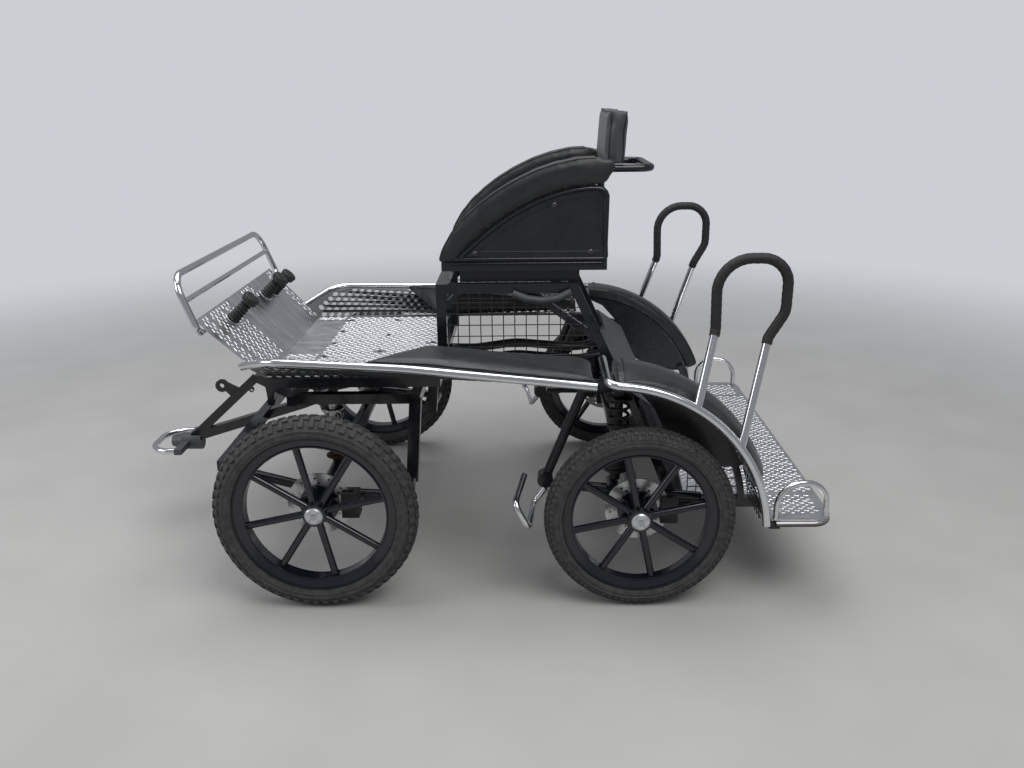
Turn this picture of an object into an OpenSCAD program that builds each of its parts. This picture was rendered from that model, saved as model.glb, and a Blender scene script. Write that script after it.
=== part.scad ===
// Four-wheel pony driving carriage of the marathon type.
// Frame: +X forward, +Y left, +Z up. The origin is on the ground, under the middle of the
// carriage's length. Inside the modules X is measured from the midpoint between the axles.

/* [Overall] */
// Distance between the front and the rear axle
wheel_base = 870; // [800:10:1060]
// Distance between the centre planes of the left and right wheels
track = 1182; // [1100:2:1420]
// Reach of the nose bow ahead of the front axle
nose_reach = 665; // [600:5:800]
// Reach of the platform behind the rear axle
tail_reach = 525; // [490:5:640]
// Height of the floor's upper face
floor_z = 585; // [575:5:660]

/* [Wheels] */
// Outer diameter of the front tyres
front_tyre_d = 556; // [520:2:580]
// Section width of the front tyres
front_tyre_w = 80; // [70:1:90]
// Outer diameter of the rear tyres
rear_tyre_d = 514; // [480:2:560]
// Section width of the rear tyres
rear_tyre_w = 68; // [60:1:84]
// Radial height of the rims
rim_h = 30; // [24:1:36]
// Number of spokes in a wheel
spoke_count = 8; // [6:1:10]
// Diameter of a spoke
spoke_d = 20; // [14:1:24]
// Diameter of the hubs
hub_d = 62; // [54:1:74]
// Diameter of the hub caps
cap_d = 49; // [40:1:52]
// Diameter of the stub axles
stub_d = 25; // [20:1:30]
// Diameter of the brake discs
disc_d = 178; // [160:2:200]
// Thickness of the brake discs
disc_t = 4; // [3:0.5:5]

/* [Floor] */
// Half of the floor's width
floor_half = 355; // [320:5:400]
// Thickness of the tread plates
plate_t = 3; // [2:0.5:4]
// Level length of the floor plate
floor_len = 465; // [430:5:500]
// Length of the sloping footboard, along its slope
footboard_len = 244; // [200:2:280]
// Slope of the footboard
footboard_slope = 45; // [35:1:55]
// Half of the footboard's width at its top edge
footboard_half = 385; // [360:5:420]
// Width and height of the floor's square tubes
floor_tube = 30; // [25:1:35]

/* [Seat] */
// Height of the pedestal's top rails above the floor
pedestal_h = 240; // [200:5:280]
// Half of the pedestal's width
pedestal_half = 250; // [225:5:275]
// Length of the seat box
seat_len = 470; // [420:5:520]
// Height of the seat's side panels
seat_side_h = 211; // [180:2:250]
// Thickness of the seat's side panels
seat_side_t = 14; // [10:1:20]
// Thickness of the seat cushion
cushion_t = 55; // [40:5:80]
// Width of the rolls along the seat's sides
bolster_w = 62; // [50:1:75]

/* [Tubes] */
// Diameter of the bright guard and fender rails
rail_d = 22; // [18:1:26]
// Diameter of the front grab rail
front_rail_d = 19; // [16:1:22]
// Diameter of the wrapped grips
grip_d = 28; // [25:1:32]
// Diameter of the black frame tubes
frame_d = 32; // [28:1:38]

/* [Draught] */
// Diameter of the hole in the ear plate that takes the draught pin
ear_hole_d = 16; // [12:1:20]
// Diameter of the pole socket
socket_d = 56; // [48:1:62]
// Diameter of the kingpin
kingpin_d = 40; // [32:1:46]

/* [Hidden] */
$fn = 48;
shaft_fit = 0.05;        // radial play of a turning shaft in its bore
seat_gap = 0.3;          // gap that keeps curved or soft faces apart
turn_gap = 6;            // room between parts that turn past each other
sheet_t = 2.5;
xf = wheel_base / 2;     // front axle
xr = -wheel_base / 2;    // rear axle
yw = track / 2;          // wheel centre plane
nose_x = xf + nose_reach;
tail_x = xr - tail_reach;
mid_x = (nose_x + tail_x) / 2;
front_r = front_tyre_d / 2;
rear_r = rear_tyre_d / 2;
left = 1;
right = -1;

// floor and pedestal
floor_x0 = xf + 170 - floor_len;          // rear end of the floor plate
bend_x = xf + 170;                        // where the footboard begins
joint_x = xf + 65;                        // joint between floor plate and footboard
floor_under = floor_z - plate_t;
tube_z = floor_under - floor_tube / 2;    // middle of the floor tubes
foot_dx = footboard_len * cos(footboard_slope);
foot_dz = footboard_len * sin(footboard_slope);
post_x = floor_x0 - floor_tube;           // front posts of the pedestal
pedestal_z = floor_z + pedestal_h;        // top of the pedestal rails
pedestal_tube = 28;
pedestal_back = xr + 160;                 // rear end of the pedestal's top rails
leg_foot_x = xr + 49;                     // foot of the sloping rear legs

// seat
slide_h = 38;
seat_z = pedestal_z + slide_h;            // underside of the seat box
seat_box_h = 25;
seat_top = seat_z + seat_box_h;
seat_front = post_x - 5;
seat_back = seat_front - seat_len;
backrest_z = seat_top + 248;             // handle tubes that carry the backrest
backrest_d = 22;
cushion_half = pedestal_half - bolster_w + 10 - seat_gap;

// guards: three corners of the bright rail
rail_front = [bend_x - 37, yw - 96, floor_z + 85];
rail_pad = [floor_x0 + 52, yw - 66, floor_z + 73];
rail_rear = [xr + 120, yw + 14, floor_z + 45];

// fenders: arcs about one axis above the rear wheel
fender_x = xr + 86;
fender_z = 214;
shell_r = 410;
shell_t = 3;
hoop_r = shell_r - 30;                    // inner radius of the hoops behind the wheels
fender_in = yw - 136;                     // inner face of the fender's side panel
fender_out = yw + 24;                     // line of the bright rail
fender_rail_r = 421;
pad_r = 450;
fender_a0 = 92;
fender_a1 = 160;
fender_rail_end = 176;

// platform
platform_z = 250;
platform_half = yw + 4;
platform_front = xr - 122;
wing_x = xr - 352;                        // front edge of the platform's wings
frame_z = platform_z - plate_t - 14;
frame_tube = 28;

// running gear
hub_in = yw - 52;
hub_out = yw + 27;
disc_y = yw - 56;                         // inner face of the brake disc
upright_y = yw - 96;
arm_y = yw - 141;
ring_under = floor_under - floor_tube;    // underside of the floor tubes
ring_t = 12;
race_top = ring_under - ring_t;           // underside of the upper ring
lower_ring_top = race_top - 1;
lower_ring_t = 24;
ring_d = 280;
axle_d = 46;
spring_y = 290;
nose_z = 269;

// ---------- shared shapes ----------

function unit(v) = v / norm(v);
function across(u) = abs(u[1]) > 0.9 ? [1, 0, 0] : [0, 1, 0];
function side_of(u) = unit(cross(across(u), u));

// rigid frame whose Z axis runs along u from point p
module along(p, u) {
    x = side_of(u);
    y = cross(u, x);
    multmatrix([[x[0], y[0], u[0], p[0]], [x[1], y[1], u[1], p[1]], [x[2], y[2], u[2], p[2]],
        [0, 0, 0, 1]]) children();
}

// round bar from p to q
module bar(p, q, d) {
    along(p, unit(q - p)) cylinder(d = d, h = norm(q - p));
}

// square bar from p to q, one pair of faces kept level or upright
module beam(p, q, w) {
    along(p, unit(q - p)) translate([-w / 2, -w / 2, 0]) cube([w, w, norm(q - p)]);
}

function turn(a, b, c) = acos(min(1, max(-1, unit(b - a) * unit(c - b))));
function cutback(a, b, c, r) = r * tan(turn(a, b, c) / 2);

// round tube through the points, with an elbow of radius r[i] at each inner point; a straight
// runs a little way into its elbows and is finer than they are by a hair
module bent(pts, d, r) {
    n = len(pts);
    lap = 1.5;
    hair = 0.2;
    trims = [for (i = [0:n - 1])
        i == 0 || i == n - 1 ? 0 : cutback(pts[i - 1], pts[i], pts[i + 1], r[i - 1]) - lap];
    for (i = [0:n - 2]) {
        u = unit(pts[i + 1] - pts[i]);
        bar(pts[i] + u * trims[i], pts[i + 1] - u * trims[i + 1], d - hair);
    }
    for (i = [1:n - 2]) elbow(pts[i - 1], pts[i], pts[i + 1], d, r[i - 1]);
}

module elbow(a, b, c, d, r) {
    u = unit(b - a);
    v = unit(c - b);
    n = unit(v - (u * v) * u);
    s = b - u * cutback(a, b, c, r) + n * r;
    z = cross(u, n);
    multmatrix([[-n[0], u[0], z[0], s[0]], [-n[1], u[1], z[1], s[1]],
        [-n[2], u[2], z[2], s[2]], [0, 0, 0, 1]])
        rotate_extrude(angle = turn(a, b, c)) translate([r, 0]) circle(d = d);
}

// outline in the X-Z plane, from y0 to y1
module slab_xz(y0, y1) {
    translate([0, y1, 0]) rotate([90, 0, 0]) linear_extrude(y1 - y0) children();
}

// profile of (radius, y) turned about the axis through (x, z) parallel to Y, from a0 to a1
module turned(x, z, a0, a1) {
    translate([x, 0, z]) rotate([90, 0, 0]) rotate([0, 0, a0])
        rotate_extrude(angle = a1 - a0) mirror([0, 1]) children();
}

module both_sides() {
    children();
    mirror([0, 1, 0]) children();
}

module on_side(s) {
    mirror([0, s == right ? 1 : 0, 0]) children();
}

module placed() {
    translate([-mid_x, 0, 0]) children();
}

function mirror_y(p) = [p[0], -p[1], p[2]];
function mix(p, q, t) = p + (q - p) * t;
function flip_list(l) = [for (i = [len(l) - 1:-1:0]) l[i]];
function arc(cx, cy, r, a0, a1, n) =
    [for (i = [0:n]) let (a = a0 + (a1 - a0) * i / n) [cx + r * cos(a), cy + r * sin(a)]];
function curve(p0, p1, p2, p3, n) = [for (i = [0:n]) let (t = i / n, s = 1 - t)
    s * s * s * p0 + 3 * s * s * t * p1 + 3 * s * t * t * p2 + t * t * t * p3];

// ---------- chassis ----------

module chassis_frame() {
    backbone_y = 70;
    backbone_z = floor_z - 38;
    arch = 18;
    color("#16171a") placed() {
        // square tubes under the floor
        for (y = [-floor_half + floor_tube / 2, floor_half - floor_tube / 2])
            beam([floor_x0 - floor_tube, y, tube_z], [bend_x - 5, y, tube_z], floor_tube);
        for (x = [floor_x0 - floor_tube / 2, xf - 60, xf + 60, bend_x - 20])
            beam([x, -floor_half, tube_z], [x, floor_half, tube_z], floor_tube);
        // slanting bearers of the footboard
        for (y = [-floor_half + 60, floor_half - 60]) foot_bearer(y);
        // arched backbone
        for (y = [-backbone_y, backbone_y])
            bent([[floor_x0 - 2, y, backbone_z + 2], [floor_x0 - 110, y, backbone_z],
                [floor_x0 - 240, y, backbone_z + arch], [leg_foot_x + 90, y, backbone_z],
                [leg_foot_x, y, tube_z]], frame_d - 4, [200, 260, 200]);
        // rear cross tube, its end brackets and the struts to the trailing arms
        beam([leg_foot_x, -fender_in + 8, tube_z], [leg_foot_x, fender_in - 8, tube_z], floor_tube);
        both_sides() {
            beam([leg_foot_x, arm_y - 50, tube_z], [xr + 145, arm_y - 50, tube_z], floor_tube);
            bar([xr + 135, arm_y - 50, tube_z + 5], [xr + 249, arm_y - 50, 288], frame_d - 4);
            translate([xr + 249, arm_y - 70, 288]) rotate([-90, 0, 0])
                cylinder(d = 46, h = 40);
        }
    }
}

// bearer that runs under the footboard's slope
module foot_bearer(y) {
    u = [cos(footboard_slope), 0, sin(footboard_slope)];
    n = [-u[2], 0, u[0]];
    start = [bend_x, y, floor_z] - n * (plate_t + 12.5);
    beam(start - u * 20, start + u * (footboard_len - 12), 25);
}

module turntable_upper() {
    color("#1b1c1f") placed() translate([xf, 0, 0]) {
        translate([0, 0, race_top]) cylinder(d = ring_d, h = ring_t);
        translate([0, 0, lower_ring_top - lower_ring_t - 40]) cylinder(d = kingpin_d,
            h = race_top - lower_ring_top + lower_ring_t + 40 + ring_t);
        for (x = [-60, 60]) translate([x - 20, -ring_d / 2, race_top])
            cube([40, ring_d, ring_t]);
    }
}

// ---------- floor ----------

module floor_plate() {
    color("#b9bcbf") placed()
        translate([floor_x0, -floor_half, floor_under])
            cube([joint_x - floor_x0, 2 * floor_half, plate_t]);
}

module footboard() {
    u = [cos(footboard_slope), sin(footboard_slope)];
    n = [-u[1], u[0]];
    top = [bend_x, floor_z] + u * footboard_len;
    lap = plate_t * tan(footboard_slope / 2);
    color("#c3c5c8") placed() intersection() {
        slab_xz(-footboard_half, footboard_half) polygon([[joint_x, floor_z], [bend_x, floor_z],
            top, top - n * plate_t, [bend_x + lap, floor_under], [joint_x, floor_under]]);
        linear_extrude(2000) polygon([[joint_x, -floor_half], [bend_x, -floor_half],
            [bend_x + foot_dx + plate_t, -footboard_half],
            [bend_x + foot_dx + plate_t, footboard_half],
            [bend_x, floor_half], [joint_x, floor_half]]);
    }
}

// edge of the footboard at a share of its length
function foot_edge(t) = [bend_x + foot_dx * t, floor_half + (footboard_half - floor_half) * t,
    floor_z + foot_dz * t];

module front_grab_rail() {
    n = [-sin(footboard_slope), 0, cos(footboard_slope)];
    arm_d = front_rail_d - 4;
    hook = foot_edge(0.86) - n * (plate_t + arm_d / 2 + seat_gap);
    low = [bend_x + foot_dx - 14, footboard_half + 28, floor_z + foot_dz - 14];
    top = [bend_x + foot_dx + 38, footboard_half + 20, floor_z + foot_dz + 126];
    bar_at = low + (top - low) * 0.52;
    start = hook + [0, 1 + front_rail_d / 2, 0];
    half = [start, low, top];
    path = concat(half, [for (p = flip_list(half)) mirror_y(p)]);
    color("#d5d8da") placed() {
        bent(path, front_rail_d, [16, 62, 62, 16]);
        bar(bar_at, mirror_y(bar_at), arm_d);
        both_sides() bar(hook - [0, 30, 0], start + [0, 4, 0], arm_d);
    }
}

// brake pedals: [y, distance of the foot up the slope, height of the boot]
module brake_pedals() {
    pedals = [[192, 184, 70], [-155, 181, 62], [-235, 172, 62]];
    boot_d = 38;
    pad_d = 52;
    pad_t = 24;
    color("#1c1d1e") placed() for (p = pedals)
        translate([bend_x, p[0], floor_z]) rotate([0, -footboard_slope, 0])
            translate([p[1], 0, seat_gap]) {
                cylinder(d = boot_d, h = p[2]);
                translate([0, 0, p[2]]) cylinder(d1 = pad_d - 6, d2 = pad_d, h = pad_t);
            }
}

// ---------- guards and their pads ----------

function guard_foot(x, z) = [x, floor_half + seat_gap, z];

// corners of a guard, front to rear: three on the floor's edge, four under the rail
guard_in = [guard_foot(bend_x - 4, floor_z - 4), guard_foot(rail_pad[0], floor_z - 4),
    guard_foot(rail_rear[0], floor_z + 14)];
guard_out = [foot_edge(0.30) + [0, 8, -14], rail_front + [-6, -9, -4], rail_pad,
    rail_rear + [12, 0, 0]];

// sheet folded along the lines between its corners
module guard_sheet() {
    q = concat(guard_in, guard_out);
    n = len(q);
    up = [0, 0, sheet_t / 2];
    top = [[0, 4, 3], [0, 1, 4], [4, 1, 5], [1, 6, 5], [1, 2, 6]];
    rim = [0, 3, 4, 5, 6, 2, 1];
    polyhedron(concat([for (p = q) p + up], [for (p = q) p - up]),
        concat(top, [for (f = top) [f[2] + n, f[1] + n, f[0] + n]],
            [for (i = [0:n - 1]) let (a = rim[i], b = rim[(i + 1) % n]) [a, b, b + n, a + n]]));
}

module side_guards() {
    color("#18191b") placed() both_sides() difference() {
        guard_sheet();
        side_rail(rail_d + 0.4);
    }
}

module side_rail(d) {
    bent([foot_edge(0.30) + [6, 13, -14], rail_front, rail_pad, rail_rear], d, [110, 900]);
}

module side_rails() {
    color("#d9dbdd") placed() both_sides() side_rail(rail_d);
}

// wedge that fills the guard from the fold to its rear end
module side_pad(s) {
    r = 15;
    low = [0, 0, sheet_t / 2 + seat_gap + 5.5];
    feet = [mix(guard_in[1], guard_out[2], 0.07), mix(guard_in[1], guard_out[2], 0.8),
        mix(guard_in[2], guard_out[3], 0.05), mix(guard_in[2], guard_out[3], 0.86)];
    color("#1a1b1b") placed() on_side(s) hull() {
        for (p = feet) translate(p + low) sphere(r = 4, $fn = 16);
        translate([floor_x0 + 158, rail_pad[1] - 38, floor_z + 77]) sphere(r = 7, $fn = 20);
        translate([floor_x0 - 10, floor_half + 24, floor_z + 78]) sphere(r = r, $fn = 24);
        translate([floor_x0 - 10, rail_pad[1] - 20, rail_pad[2] + 6]) sphere(r = 7, $fn = 20);
        translate([rail_rear[0] + 8, floor_half + 26, floor_z + 40]) sphere(r = r, $fn = 24);
        translate([rail_rear[0] + 8, rail_rear[1] - 28, rail_rear[2] + 6]) sphere(r = 7, $fn = 20);
    }
}

// ---------- seat ----------

module seat_pedestal() {
    rail_z = pedestal_z - pedestal_tube / 2;
    y = pedestal_half - pedestal_tube / 2;
    color("#191a1e") placed() difference() {
        union() {
            both_sides() {
                beam([post_x, y, floor_under], [post_x, y, pedestal_z], pedestal_tube);
                beam([post_x + pedestal_tube / 2, y, rail_z], [pedestal_back - 10, y, rail_z],
                    pedestal_tube);
                beam([pedestal_back, y, rail_z], [leg_foot_x, y, floor_under - 9],
                    pedestal_tube - 1);
                beam([pedestal_back + 145, y, rail_z], [leg_foot_x + 30, y, floor_z + 62], 20);
                beam([post_x - 4, y, rail_z - 60], [post_x - 64, y, rail_z], 16);
            }
            for (x = [post_x, pedestal_back])
                beam([x, -y, rail_z], [x, y, rail_z], pedestal_tube);
        }
        // the feet stand flat on the floor tubes
        translate([-wheel_base, -track, floor_under - 60]) cube([2 * wheel_base, 2 * track, 60]);
    }
}

// welded wire panel between the posts, on both sides
module pedestal_mesh() {
    wire = 3;
    pitch = 33;
    y = pedestal_half - 2;
    z0 = floor_z + 20;
    z1 = pedestal_z - pedestal_tube;
    x0 = post_x - pedestal_tube / 2;
    color("#1b1c1e") placed() both_sides() {
        for (z = [z0 + pitch:pitch:z1 - 4])
            bar([x0, y, z], [leg_face(z), y, z], wire);
        for (x = [x0 - pitch:-pitch:leg_face(z0) + pitch])
            bar([x, y, z0 + 6], [x, y, min(z1, leg_face_z(x - 4))], wire);
        bar([x0, y, z0 + 8], [leg_face(z0 + 8), y, z0 + 8], wire + 1);
    }
}

// front face of the sloping rear leg: its place at height z, and its height at place x
leg_lean = (pedestal_back - leg_foot_x) / (pedestal_z - pedestal_tube / 2 - floor_under + 9);
function leg_face(z) = pedestal_back + 17 - (pedestal_z - pedestal_tube / 2 - z) * leg_lean;
function leg_face_z(x) = pedestal_z - pedestal_tube / 2 - (pedestal_back + 17 - x) / leg_lean;

module seat_slide() {
    half = pedestal_half - 30;
    color("#141518") placed() translate([pedestal_back - 14, -half, pedestal_z])
        cube([post_x - 40 - pedestal_back, 2 * half, slide_h]);
}

module seat_box() {
    color("#17181c") placed() translate([seat_back, -pedestal_half, seat_z])
        cube([seat_len, 2 * pedestal_half, seat_box_h]);
}

// outline of a side panel, along X and Z
function panel_top(n) = curve([seat_front - 30, seat_top], [seat_front - 110, seat_top + 78],
    [seat_back + 230, seat_top + seat_side_h - 12], [seat_back + 52, seat_top + seat_side_h], n);

module panel_outline() {
    top = seat_top + seat_side_h;
    polygon(concat(panel_top(10),
        arc(seat_back + 30, top - 34, 34, 80, 170, 4), [[seat_back, seat_top]]));
}

module seat_panels() {
    color("#101114") placed() both_sides()
        slab_xz(pedestal_half - seat_side_t, pedestal_half) panel_outline();
}

module seat_cushion() {
    front = seat_front - 22;
    back = seat_back + 25;
    r = 14;
    color("#191a1a") placed() hull() for (x = [back + r, front - r])
        for (y = [-cushion_half + r, cushion_half - r]) {
            translate([x, y, seat_top + seat_gap]) cylinder(r = r, h = cushion_t - r, $fn = 24);
            translate([x, y, seat_top + seat_gap + cushion_t - r]) sphere(r = r, $fn = 24);
        }
}

function bolster_top(n) = curve([seat_front + 13, seat_top + 2], [seat_front - 10, seat_top + 132],
    [seat_front - 255, seat_top + 297], [seat_back + 35, seat_top + 292], n);

module seat_bolster(s) {
    inner = [for (p = flip_list(panel_top(10))) p + [0.2, 0.3]];
    tip = [[seat_back - 12, seat_top + 282], [seat_back - 22, seat_top + 262],
        [seat_back + 8, seat_top + seat_side_h + 6]];
    color("#1a1b1b") placed() on_side(s)
        slab_xz(pedestal_half - bolster_w + 10, pedestal_half + 10)
            polygon(concat(bolster_top(10), tip, inner));
}

module backrest_pad() {
    back_x = seat_back - 50;
    half = 166;
    h = 148;
    tilt = 4;
    z0 = backrest_z + backrest_d / 2 + seat_gap;
    color("#2a2c2e") placed() translate([back_x, 0, z0]) rotate([0, -tilt, 0])
        translate([0, -half, 0]) cube([54, 2 * half, h]);
}

module backrest_handle() {
    d = backrest_d;
    y = 150;
    z = backrest_z;
    x = seat_back + 14;
    back = seat_back - 132;
    half = [[x, y, seat_top], [x, y, z], [back, y, z]];
    path = concat(half, [for (p = flip_list(half)) mirror_y(p)]);
    color("#17181a") placed() {
        bent(path, d, [36, 40, 40, 36]);
        bar([seat_back - 22, -y, z], [seat_back - 22, y, z], d);
    }
}

// ---------- fenders ----------

module fender_shell() {
    function ray(a) = [fender_x + 900 * cos(a), fender_z + 900 * sin(a)];
    slab_xz(fender_in, fender_out - 3) intersection() {
        translate([fender_x, fender_z]) difference() {
            circle(r = shell_r, $fn = 180);
            circle(r = shell_r - shell_t, $fn = 180);
        }
        polygon([[fender_x, fender_z], ray(fender_a0), ray((fender_a0 + fender_a1) / 2),
            ray(fender_a1)]);
    }
}

module fender_rail_arc(d) {
    turned(fender_x, fender_z, fender_a0 + 3, fender_rail_end)
        translate([fender_rail_r, fender_out]) circle(d = d);
}

// outline of the inner side: arc on top, hollow lower edge over the wheel
module fender_side() {
    low = curve([xr - 298, 350], [xr - 262, 338], [xr - 190, 345], [xr - 108, 392], 6);
    polygon(concat(arc(fender_x, fender_z, shell_r - shell_t - seat_gap, fender_a0, fender_a1, 14), low,
        [[xr - 50, 518], [xr + 20, 596]]));
}

module fender_arches() {
    color("#131414") placed() both_sides() fender_shell();
}

module fender_sides() {
    color("#131414") placed() both_sides() slab_xz(fender_in, fender_in + 5) fender_side();
}

module fender_pad(s) {
    y0 = fender_in - 8;
    base = shell_r + seat_gap;
    color("#191a1a") placed() on_side(s)
        turned(fender_x, fender_z, fender_a0 - 0.5, fender_a1 + 1)
            polygon([[base, y0], [pad_r - 10, y0], [pad_r, y0 + 14], [pad_r + 2, y0 + 70],
                [pad_r - 8, y0 + 115], [pad_r - 24, fender_out - rail_d / 2 - 3],
                [base, fender_out - rail_d / 2 - 3]]);
}

module fender_rails() {
    a = fender_a0 + 3;
    start = [fender_x + fender_rail_r * cos(a), fender_out, fender_z + fender_rail_r * sin(a)];
    t = [sin(a), 0, -cos(a)];
    front = start + t * 42;
    color("#d6d8da") placed() both_sides() {
        fender_rail_arc(rail_d);
        bent([start, front, [front[0] + 6, fender_in + 6, front[2] + 26]], rail_d, [30]);
    }
}

// grab handle: legs on the fender rail, a horseshoe hoop above
function leg_foot(a) = [fender_x + fender_rail_r * cos(a), fender_out,
    fender_z + fender_rail_r * sin(a)];
foot_front = leg_foot(121.5);
foot_rear = leg_foot(143.5);
neck_front = [xr - 186, yw - 58, 760];
neck_rear = [xr - 322, yw - 58, 738];
grip_front = foot_front + (neck_front - foot_front) * 0.92;
grip_rear = foot_rear + (neck_rear - foot_rear) * 0.94;

module grab_handles() {
    color("#d2d4d6") placed() both_sides() difference() {
        union() {
            bar(foot_front, grip_front, rail_d);
            bar(foot_rear, grip_rear, rail_d);
        }
        fender_rail_arc(rail_d + 0.2);
        turned(fender_x, fender_z, fender_a0, fender_rail_end)
            translate([fender_rail_r - 60, fender_out - 20]) square([60, 40]);
    }
}

module handle_grips() {
    top_z = 944;
    color("#151617") placed() both_sides()
        bent([grip_front, neck_front, [xr - 181, yw - 56, top_z], [xr - 361, yw - 53, top_z],
            [xr - 361, yw - 55, 806], neck_rear, grip_rear], grip_d, [60, 88, 88, 60, 40]);
}

// ---------- platform ----------

module rear_bulkhead() {
    back = [-sheet_t, 0.4 * sheet_t];
    in = [[leg_foot_x - floor_tube / 2, floor_under - 6], [xr - 48, floor_z - 67],
        [xr - 106, 389], [xr - 140, platform_z + seat_gap]];
    color("#212224") placed() slab_xz(-fender_in + 1, fender_in - 1)
        polygon(concat(in, [for (p = flip_list(in)) p + back]));
}

module rear_platform() {
    r = 48;
    color("#bfc2c5") placed() translate([0, 0, platform_z - plate_t]) linear_extrude(plate_t)
        union() {
            translate([tail_x + 5, -fender_in + 20]) square([platform_front - tail_x - 5,
                2 * fender_in - 40]);
            translate([tail_x + 5 + r, -platform_half]) square([wing_x - tail_x - 5 - r,
                2 * platform_half]);
            translate([tail_x + 5, -platform_half + r]) square([wing_x - tail_x - 5,
                2 * platform_half - 2 * r]);
            for (y = [-platform_half + r, platform_half - r]) translate([tail_x + 5 + r, y])
                circle(r = r);
        }
}

module rear_frame() {
    w = frame_tube;
    y = fender_in - 14 - sheet_t;
    hanger_y = fender_in - 115;
    front_x = platform_front + 10;
    color("#151617") placed() {
        both_sides() {
            beam([front_x, y, frame_z], [tail_x + 12, y, frame_z], w);
            // sloping hanger under the rear cross tube
            beam([leg_foot_x - 23, hanger_y, tube_z - 12], [front_x + 4, hanger_y, frame_z + 5],
                w - 6);
            turned(fender_x, fender_z, 157, 177)
                translate([hoop_r, fender_in - 18]) square([20, 17.7]);
            beam([wing_x - 12, y, frame_z], [wing_x - 12, platform_half - 6, frame_z], w);
        }
        for (x = [front_x, (front_x + tail_x) / 2])
            beam([x, -y, frame_z], [x, y, frame_z], w);
        beam([tail_x + 5 + w / 2, -platform_half + 62, frame_z],
            [tail_x + 5 + w / 2, platform_half - 62, frame_z], w);
    }
}

module platform_loops() {
    d = 16;
    y = platform_half + d / 2 - 4;
    low_z = platform_z - plate_t - d / 2 - seat_gap;
    top_z = platform_z + 100;
    front = wing_x - 12;
    back = tail_x + 14;
    color("#cfd1d3") placed() both_sides() {
        bent([[front, y - 8, platform_z], [front, y - 8, top_z], [back + 8, y - 28, top_z],
            [back + 8, y - 28, platform_z]], d, [66, 66]);
        bent([[front, y, low_z], [back + 6, y, low_z], [back - 4, platform_half - 60, low_z]],
            d, [50]);
    }
}

// welded wire: side walls over the platform frame, and the lowest part of each arch
module rear_mesh() {
    wire = 3;
    pitch = 25;
    y = fender_in - 4;
    z0 = platform_z - plate_t + seat_gap;
    z1 = 352;
    x0 = xr - 150;
    thin = 2.4;
    color("#1b1c1e") placed() both_sides() {
        for (x = [x0:-pitch:hoop_face(z1) + wire]) bar([x, y, z0], [x, y, z1], wire);
        for (z = [z0 + 10:pitch:z1]) bar([x0, y, z], [hoop_face(z), y, z], wire);
        for (v = [fender_in + 5:pitch:fender_out - 20])
            turned(fender_x, fender_z, fender_a1 + 0.05, fender_rail_end - 1)
                translate([shell_r - thin, v]) square(thin);
        for (a = [fender_a1 + 3:3.4:fender_rail_end - 1])
            turned(fender_x, fender_z, a, a + 0.3)
                translate([shell_r - thin + 0.3, fender_in + 3])
                    square([thin - 0.6, fender_out - fender_in - 9]);
    }
}

// inner face of the frame's hoop at height z
function hoop_face(z) = fender_x + seat_gap - sqrt(hoop_r * hoop_r - pow(z - fender_z, 2));

module side_steps() {
    d = 18;
    foot = [xr + 249, arm_y - 30 + d / 2 + 0.1, 288];
    color("#c9cbcd") placed() both_sides()
        bent([foot + [0, 0, -18], foot + [34, 0, -64], foot + [48, 162, -64],
            foot + [86, 162, 8], foot + [60, 10, 26]], d, [20, 26, 26]);
}

// ---------- rear running gear ----------

module rear_axle() {
    color("#17181a") placed() {
        bar([xr, -upright_y + 2, rear_r], [xr, upright_y - 2, rear_r], axle_d);
        both_sides() {
            wheel_end(xr, rear_r);
            // trailing arm, from the strut's eye past the axle
            bar([xr + 226, arm_y - 22, 284], [xr - 185, arm_y + 26, rear_r + 4], 30);
            bar([xr + 60, arm_y - 50, rear_r + 20], [xr + 60, arm_y + 10, rear_r + 20], 40);
        }
    }
}

// upright block, stub axle and the caliper's bracket at one wheel
module wheel_end(x, z) {
    translate([x - 32, upright_y - 22, z - 48]) cube([64, 44, 96]);
    translate([x, upright_y, z]) rotate([-90, 0, 0]) cylinder(d = stub_d,
        h = yw + 8 - upright_y);
    translate([x, upright_y, z]) rotate([-90, 0, 0]) cylinder(d = stub_d + 14,
        h = disc_y - turn_gap - upright_y);
    translate([x - 92, upright_y + 4, z - 20]) cube([70, 12, 40]);
}

module rear_springs() {
    foot = [xr + 52, arm_y - 26, rear_r + 40];
    head = [xr + 42, arm_y - 42, tube_z - floor_tube / 2];
    u = unit(head - foot);
    color("#1a1b1d") placed() both_sides() {
        bar(foot + u * 1, head - u * 1, 30);
        bar(foot + u * 24, head - u * 14, 66);
        bar(head - u * 22, head - u * 14, 74);
    }
}

module caliper(x, z) {
    r0 = hub_d / 2 + 31;
    r1 = disc_d / 2 + 20;
    y0 = upright_y + 16;
    y1 = disc_y + disc_t + turn_gap + 12;
    h = 72;
    translate([x - r1, y0, z - h / 2]) difference() {
        cube([r1 - r0, y1 - y0, h]);
        translate([14, disc_y - turn_gap - y0, -1])
            cube([r1 - r0, disc_t + 2 * turn_gap, h + 2]);
    }
}

module rear_calipers() {
    color("#222326") placed() both_sides() caliper(xr, rear_r);
}

// ---------- steered front carriage ----------

module turntable_lower() {
    h = lower_ring_t + 36;
    color("#202124") placed() translate([xf, 0, 0]) difference() {
        union() {
            translate([0, 0, lower_ring_top - lower_ring_t]) cylinder(d = ring_d,
                h = lower_ring_t);
            translate([0, 0, lower_ring_top - h]) cylinder(d = kingpin_d + 40, h = h);
        }
        translate([0, 0, lower_ring_top - h - 1]) cylinder(d = kingpin_d + 2 * shaft_fit,
            h = h + 2);
    }
}

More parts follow.
